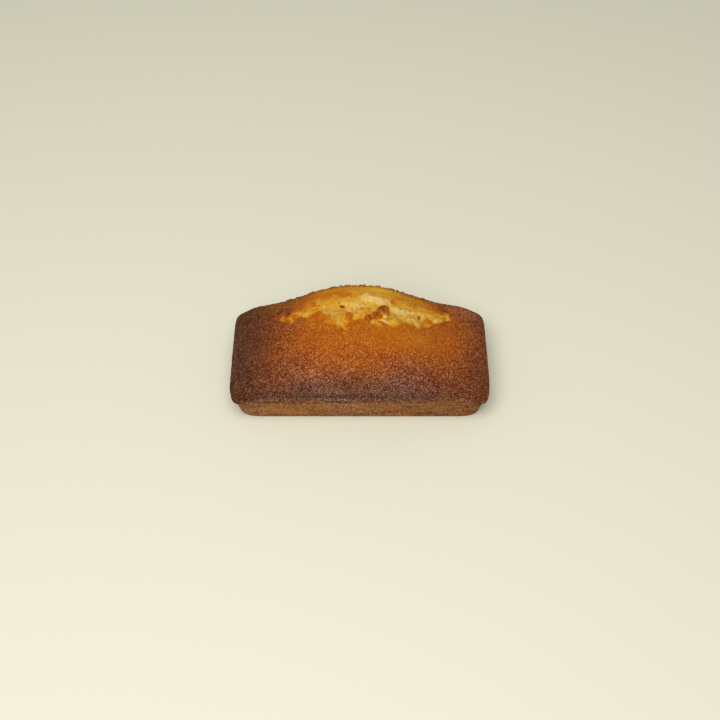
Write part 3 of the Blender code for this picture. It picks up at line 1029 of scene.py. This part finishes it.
def grain_height(tree, place, entry, grain):
    """How far the crust's grain and low lumps stand out."""
    height = calculate(tree, "SUBTRACT", grain, GRAIN_USUAL)
    height = calculate(tree, "MULTIPLY", height, entry["Grain height"])
    lumps = noise_value(tree, place, size_to_scale(tree, entry["Lump size"]), detail=3.0)
    lumps = calculate(tree, "SUBTRACT", lumps, 0.5)
    swing = calculate(tree, "MULTIPLY", entry["Lump height"], 2.0)
    return calculate(tree, "MULTIPLY_ADD", lumps, swing, height)


def pore_share(tree, place, entry):
    """1 in the middle of a pore and 0 outside; not every cell has one."""
    holes = cells(tree, place, size_to_scale(tree, entry["Pore spacing"])).outputs
    chance = add_node(tree, "ShaderNodeSeparateXYZ", {0: holes["Color"]}).outputs[0]
    open_cell = calculate(tree, "GREATER_THAN", chance, PORE_CHANCE)
    return calculate(tree, "MULTIPLY", remap(tree, holes["Distance"], **PORE_SPREAD), open_cell)


def torn_height(tree, place, entry):
    """How far the ridges of the torn crumb stand out."""
    scale = size_to_scale(tree, entry["Crumb size"])
    torn = noise_value(tree, place, scale, detail=4.0, roughness=0.62)
    ridged = calculate(tree, "ABSOLUTE", calculate(tree, "SUBTRACT", torn, 0.5))
    ridged = calculate(tree, "MULTIPLY_ADD", ridged, CRUMB_RIDGES, CRUMB_RIDGE_TOP)
    torn = calculate(tree, "MULTIPLY", ridged, entry["Crumb height"])
    return calculate(tree, "MULTIPLY", torn, named_value(tree, "crumb"))


def grain_tree(material, sizes):
    """Grain, low lumps and pores over the crust, and a torn crumb in the split."""
    tree, entry = new_geometry_tree("crust grain", sizes)
    place = tree.nodes.new("GeometryNodeInputPosition").outputs[0]
    normal = tree.nodes.new("GeometryNodeInputNormal").outputs[0]
    near = cells(tree, place, size_to_scale(tree, entry["Grain size"])).outputs["Distance"]
    scale = calculate(tree, "DIVIDE", GRAIN_NOISE_SCALE, entry["Grain size"])
    fine = noise_value(tree, place, scale, roughness=0.6)
    grain = calculate(tree, "MULTIPLY_ADD", fine, GRAIN_NOISE_WEIGHT, remap(tree, near, **GRAIN_TOP))
    height = grain_height(tree, place, entry, grain)
    height = calculate(tree, "MULTIPLY", height, named_value(tree, "speckled"))
    pore = pore_share(tree, place, entry)
    height = calculate(tree, "SUBTRACT", height, calculate(tree, "MULTIPLY", pore, entry["Pore depth"]))
    height = calculate(tree, "ADD", height, torn_height(tree, place, entry))
    height = calculate(tree, "MULTIPLY", height, named_value(tree, "relief"))
    moved = moved_by(tree, entry["Geometry"], combine(tree, "SCALE", normal, height))
    moved = store_value(tree, moved, "grain", grain)
    moved = store_value(tree, moved, "pore", pore)
    finish_tree(tree, moved, material)
    return tree


def lumpy_ball(tree, subdivisions):
    """A small ball of radius 1 with an uneven skin."""
    inputs = {"Radius": 1.0, "Subdivisions": subdivisions}
    ball = add_node(tree, "GeometryNodeMeshIcoSphere", inputs).outputs[0]
    place = tree.nodes.new("GeometryNodeInputPosition").outputs[0]
    bumps = noise_value(tree, place, BALL_BUMPS)
    push = calculate(tree, "MULTIPLY_ADD", bumps, BALL_UNEVENNESS, -0.5 * BALL_UNEVENNESS)
    return moved_by(tree, ball, combine(tree, "SCALE", place, push))


def random_value(tree, low, high, seed, kind="FLOAT"):
    inputs = {"Min": low, "Max": high, "Seed": seed}
    return add_node(tree, "FunctionNodeRandomValue", inputs, data_type=kind).outputs["Value"]


def scatter_tree(name, material, sizes, subdivisions, where, tone):
    """Small uneven bits that cling to the surface, thickest where an attribute is high."""
    tree, entry = new_geometry_tree(name, sizes)
    thick = calculate(tree, "MULTIPLY", named_value(tree, where), entry["Spread"])
    inputs = {"Mesh": entry["Geometry"], "Density": thick, "Seed": entry["Seed"]}
    spread = add_node(tree, "GeometryNodeDistributePointsOnFaces", inputs, distribute_method="RANDOM").outputs
    shade = calculate(tree, "ADD", named_value(tree, "bake"), random_value(tree, *tone, TONE_SEED))
    spots = store_value(tree, spread["Points"], "bake", shade)
    turn = random_value(tree, (0.0, 0.0, 0.0), (math.tau,) * 3, TURN_SEED, "FLOAT_VECTOR")
    share = calculate(tree, "POWER", random_value(tree, 0.0, 1.0, BIT_SIZE_SEED), BIT_SIZE_POWER)
    inputs = {"Value": share, "To Min": entry["Smallest"], "To Max": entry["Largest"]}
    size = add_node(tree, "ShaderNodeMapRange", inputs).outputs[0]
    sunk = calculate(tree, "MULTIPLY", size, BITS_SUNK)
    spots = moved_by(tree, spots, combine(tree, "SCALE", spread["Normal"], sunk))
    inputs = {"Points": spots, "Instance": lumpy_ball(tree, subdivisions), "Rotation": turn, "Scale": size}
    bits = add_node(tree, "GeometryNodeInstanceOnPoints", inputs).outputs[0]
    finish_tree(tree, bits, material)
    return tree


def attribute_value(tree, label):
    made = add_node(tree, "ShaderNodeAttribute", attribute_name=label, attribute_type="GEOMETRY")
    return made.outputs["Fac"]


def browned_colour(tree, amount):
    """The colour of cake that is baked by an amount."""
    ramp = tree.nodes.new("ShaderNodeValToRGB")
    tree.links.new(amount, ramp.inputs[0])
    stops = ramp.color_ramp.elements
    while len(stops) < len(BROWNING):
        stops.new(0.5)
    for stop, (at, colour) in zip(stops, BROWNING):
        stop.position = at
        stop.color = (*colour, 1.0)
    return ramp.outputs[0]


def tinted_colour(tree, colour, sheen_and_shade, olive):
    """The colour made greyer by painted sheen and by painted shade in creases and pores, and more olive."""
    shift = add_node(tree, "ShaderNodeCombineColor", {
        0: calculate(tree, "MULTIPLY", sheen_and_shade, SHEEN_SHADE_RED),
        1: calculate(tree, "MULTIPLY_ADD", sheen_and_shade, SHEEN_SHADE_GREEN, calculate(tree, "MULTIPLY", olive, OLIVE_GREEN)),
        2: calculate(tree, "MULTIPLY_ADD", sheen_and_shade, SHEEN_SHADE_BLUE, calculate(tree, "MULTIPLY", olive, OLIVE_BLUE)),
    }).outputs[0]
    shift = combine(tree, "SCALE", shift, channel(tree, colour, 0))
    colour = combine(tree, "ADD", colour, shift)
    return combine(tree, "MAXIMUM", colour, (DARKEST,) * 3)


def grits(tree, place):
    """How near each point is to a grit's top, each grit's own shade, and the shade of broader ones."""
    inputs = {"Vector": place, "Scale": 1.0 / BEND_SIZE, "Detail": 1.0}
    push = add_node(tree, "ShaderNodeTexNoise", inputs).outputs["Color"]
    push = combine(tree, "SUBTRACT", push, (0.5, 0.5, 0.5))
    bent = combine(tree, "ADD", place, combine(tree, "SCALE", push, BEND_REACH))
    small = cells(tree, bent, 1.0 / GRIT_SIZE, GRIT_SOFTNESS).outputs
    top = remap(tree, small["Distance"], **GRIT_TOP)
    own = calculate(tree, "POWER", channel(tree, small["Color"], 0), GRIT_POWER)
    broad = channel(tree, cells(tree, bent, 1.0 / BROAD_SIZE, BROAD_SOFTNESS).outputs["Color"], 1)
    return top, own, broad


def speck_value(tree, parts, bake, sheen_and_shade, speckled):
    """How much paler or darker than its surroundings each point is: random tone, with painted highlight on
    grit tops and painted shade between them.
    """
    speck = 0.0
    for part, (usual, weight) in zip(parts, SPECK_MIX):
        speck = calculate(tree, "MULTIPLY_ADD", calculate(tree, "SUBTRACT", part, usual), weight, speck)
    loud = remap(tree, bake, **LOUDER_WHEN_BROWN)
    loud = calculate(tree, "ADD", loud, remap(tree, bake, **SOFTER_WHEN_DARK))
    # Louder where the painted sheen and shade are
    loud = calculate(tree, "MULTIPLY_ADD", sheen_and_shade, SHEEN_SHADE_LOUDER, loud)
    return calculate(tree, "MULTIPLY", speck, calculate(tree, "MULTIPLY", loud, speckled))


def specked_colour(tree, colour, speck):
    """The colour with its specks of random tone, painted highlight and painted shade, added where the eye
    sees even steps.
    """
    even = add_node(tree, "ShaderNodeGamma", {"Color": colour, "Gamma": 1.0 / EYE_GAMMA}).outputs[0]
    even = combine(tree, "ADD", even, speck)
    even = combine(tree, "MAXIMUM", even, (DARKEST_SPECK,) * 3)
    return add_node(tree, "ShaderNodeGamma", {"Color": even, "Gamma": EYE_GAMMA}).outputs[0]


def cake_material():
    """Baked cake: its browning, with grain, pores darkened by painted shade, specks with painted highlight
    and shade, and a greyish painted sheen.
    """
    material = bpy.data.materials.new("baked cake")
    material.use_nodes = True
    tree = material.node_tree
    place = tree.nodes.new("ShaderNodeTexCoord").outputs["Object"]
    labels = ("bake", "grain", "pore", "sheen_and_shade", "olive", "speckled")
    bake, grain, pore, sheen_and_shade, olive, speckled = (attribute_value(tree, label) for label in labels)
    soft = calculate(tree, "SUBTRACT", noise_value(tree, place, 1.0 / PATCH_SIZE, detail=3.0), 0.5)
    amount = calculate(tree, "MULTIPLY_ADD", soft, PATCH_BAKE, bake)
    # Painted shade darkens the crust's pores
    amount = calculate(tree, "MULTIPLY_ADD", pore, SKIN_PORE_SHADE, amount)
    colour = tinted_colour(tree, browned_colour(tree, amount), sheen_and_shade, olive)
    top, own, broad = grits(tree, place)
    fine = noise_value(tree, place, 1.0 / FINE_SIZE, roughness=0.6)
    speck = speck_value(tree, (fine, top, own, broad, grain), bake, sheen_and_shade, speckled)
    bumps = calculate(tree, "MULTIPLY_ADD", own, BUMP_GRIT, top)
    bumps = calculate(tree, "MULTIPLY_ADD", fine, BUMP_FINE, bumps)
    bumps = calculate(tree, "MULTIPLY", bumps, speckled)
    bump = add_node(tree, "ShaderNodeBump", {
        "Strength": BUMP_STRENGTH, "Distance": BUMP_HEIGHT, "Height": bumps})
    surface = tree.nodes["Principled BSDF"].inputs
    tree.links.new(specked_colour(tree, colour, speck), surface["Base Color"])
    tree.links.new(remap(tree, grain, **ROUGHNESS), surface["Roughness"])
    tree.links.new(bump.outputs[0], surface["Normal"])
    surface["Specular IOR Level"].default_value = SPECULAR
    return material


def plain_material(name, colour, roughness):
    material = bpy.data.materials.new(name)
    material.use_nodes = True
    principled = material.node_tree.nodes["Principled BSDF"]
    principled.inputs["Base Color"].default_value = (*colour, 1.0)
    principled.inputs["Roughness"].default_value = roughness
    return material


def give_body(piece):
    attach(piece, BODY)
    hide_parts(NODE)


def bit_sizes(spread, smallest, largest):
    """The inputs of a scatter tree; the spread is a number on a square millimetre."""
    return {"Spread": spread / MM ** 2, "Smallest": smallest, "Largest": largest, "Seed": SEED}


def scatter(context, name, sizes, subdivisions, where, tone):
    """Make a piece of small bits that cling to the crust."""
    cake = context.scene.objects["cake_crust"].data
    tree = scatter_tree(name + " scatter", cake.materials[0], sizes, subdivisions, where, tone)
    give_body(grow(name, cake, tree, sizes))


class CAKE_OT_body(bpy.types.Operator):
    """Make the cake's body: foot, lip and crown"""
    bl_idname = "cake.body"
    bl_label = "Make Body"

    def execute(self, context):
        cake = context.scene.cake
        labels = type(cake.relief).__annotations__
        sizes = {cake.relief.bl_rna.properties[label].name: getattr(cake.relief, label) for label in labels}
        plain = new_mesh_object("plain_body", *build_body(cake.shape))
        piece = grow("cake_crust", plain.data, grain_tree(cake_material(), sizes), sizes)
        bpy.data.objects.remove(plain)
        give_body(piece)
        return {"FINISHED"}


class CAKE_OT_grains(bpy.types.Operator):
    """Scatter grains of baked crust over the crown and the foot"""
    bl_idname = "cake.grains"
    bl_label = "Make Crust Grains"

    def execute(self, context):
        bits = context.scene.cake.bits
        sizes = bit_sizes(bits.grain_spread, bits.smallest_grain, bits.largest_grain)
        scatter(context, "crust_grains", sizes, 1, "grainy", GRAIN_TONE)
        return {"FINISHED"}


class CAKE_OT_crumbs(bpy.types.Operator):
    """Scatter crumbs over the split"""
    bl_idname = "cake.crumbs"
    bl_label = "Make Split Crumbs"

    def execute(self, context):
        bits = context.scene.cake.bits
        sizes = bit_sizes(bits.crumb_spread, bits.smallest_crumb, bits.largest_crumb)
        scatter(context, "split_crumbs", sizes, 2, "torn", CRUMB_TONE)
        return {"FINISHED"}


class CAKE_OT_knobs(bpy.types.Operator):
    """Scatter browned knobs over the back of the crest, and a few over the crust"""
    bl_idname = "cake.knobs"
    bl_label = "Make Crest Knobs"

    def execute(self, context):
        bits = context.scene.cake.bits
        sizes = bit_sizes(bits.knob_spread, bits.smallest_knob, bits.largest_knob)
        scatter(context, "crest_knobs", sizes, 2, "knobby", KNOB_TONE)
        return {"FINISHED"}


class CAKE_OT_stage(bpy.types.Operator):
    """Make the floor, the lights and the camera"""
    bl_idname = "cake.stage"
    bl_label = "Make Stage"

    def execute(self, context):
        stage = context.scene.cake.stage
        corners = np.array([(-1, -1, 0), (1, -1, 0), (1, 1, 0), (-1, 1, 0)]) * FLOOR_REACH
        floor = new_mesh_object("floor", corners, [(0, 1, 2, 3)])
        floor.data.materials.append(plain_material("pale floor", stage.floor_colour, FLOOR_ROUGHNESS))
        camera = bpy.data.objects.new("camera", bpy.data.cameras.new("camera"))
        camera.data.lens = stage.lens
        camera.data.sensor_width = SENSOR_WIDTH
        back = Vector((0.0, -math.cos(stage.elevation), math.sin(stage.elevation)))
        camera.location = Vector(stage.aim) + stage.distance * back
        camera.rotation_euler = (0.5 * math.pi - stage.elevation, 0.0, 0.0)
        camera.data.clip_start = CLIP_START
        context.scene.collection.objects.link(camera)
        context.scene.camera = camera
        world = bpy.data.worlds.new("studio")
        context.scene.world = world
        world.use_nodes = True
        background = world.node_tree.nodes["Background"].inputs
        background["Color"].default_value = SURROUND_COLOUR
        background["Strength"].default_value = stage.surround
        light = bpy.data.lights.new("key", "AREA")
        light.shape = "DISK"
        light.size = stage.key_size
        light.energy = stage.key_power
        key = bpy.data.objects.new("key", light)
        key.location = stage.key_place
        key.rotation_euler = (Vector((0, 0, 0)) - key.location).to_track_quat("-Z", "Y").to_euler()
        context.scene.collection.objects.link(key)
        context.scene.view_settings.view_transform = "Standard"
        return {"FINISHED"}


class CAKE_PT_panel(bpy.types.Panel):
    bl_label = "Financier Cake"
    bl_idname = "CAKE_PT_panel"
    bl_space_type = "VIEW_3D"
    bl_region_type = "UI"
    bl_category = "Cake"

    def draw(self, context):
        cake = context.scene.cake
        for group in (cake.shape, cake.relief, cake.bits, cake.stage):
            box = self.layout.box()
            for label in type(group).__annotations__:
                box.prop(group, label)
        for operator in OPERATORS:
            self.layout.operator(operator.bl_idname)


OPERATORS = (CAKE_OT_body, CAKE_OT_grains, CAKE_OT_crumbs, CAKE_OT_knobs, CAKE_OT_stage)
GROUPS = (CakeShape, CakeRelief, CakeBits, CakeStage, CakeSettings)


def register():
    for one in GROUPS + OPERATORS + (CAKE_PT_panel,):
        bpy.utils.register_class(one)
    bpy.types.Scene.cake = bpy.props.PointerProperty(type=CakeSettings)


def unregister():
    del bpy.types.Scene.cake
    for one in reversed(GROUPS + OPERATORS + (CAKE_PT_panel,)):
        bpy.utils.unregister_class(one)


def main():
    register()
    bpy.ops.cake.body()
    bpy.ops.cake.grains()
    bpy.ops.cake.crumbs()
    bpy.ops.cake.knobs()
    bpy.ops.cake.stage()


if __name__ == "__main__":
    main()
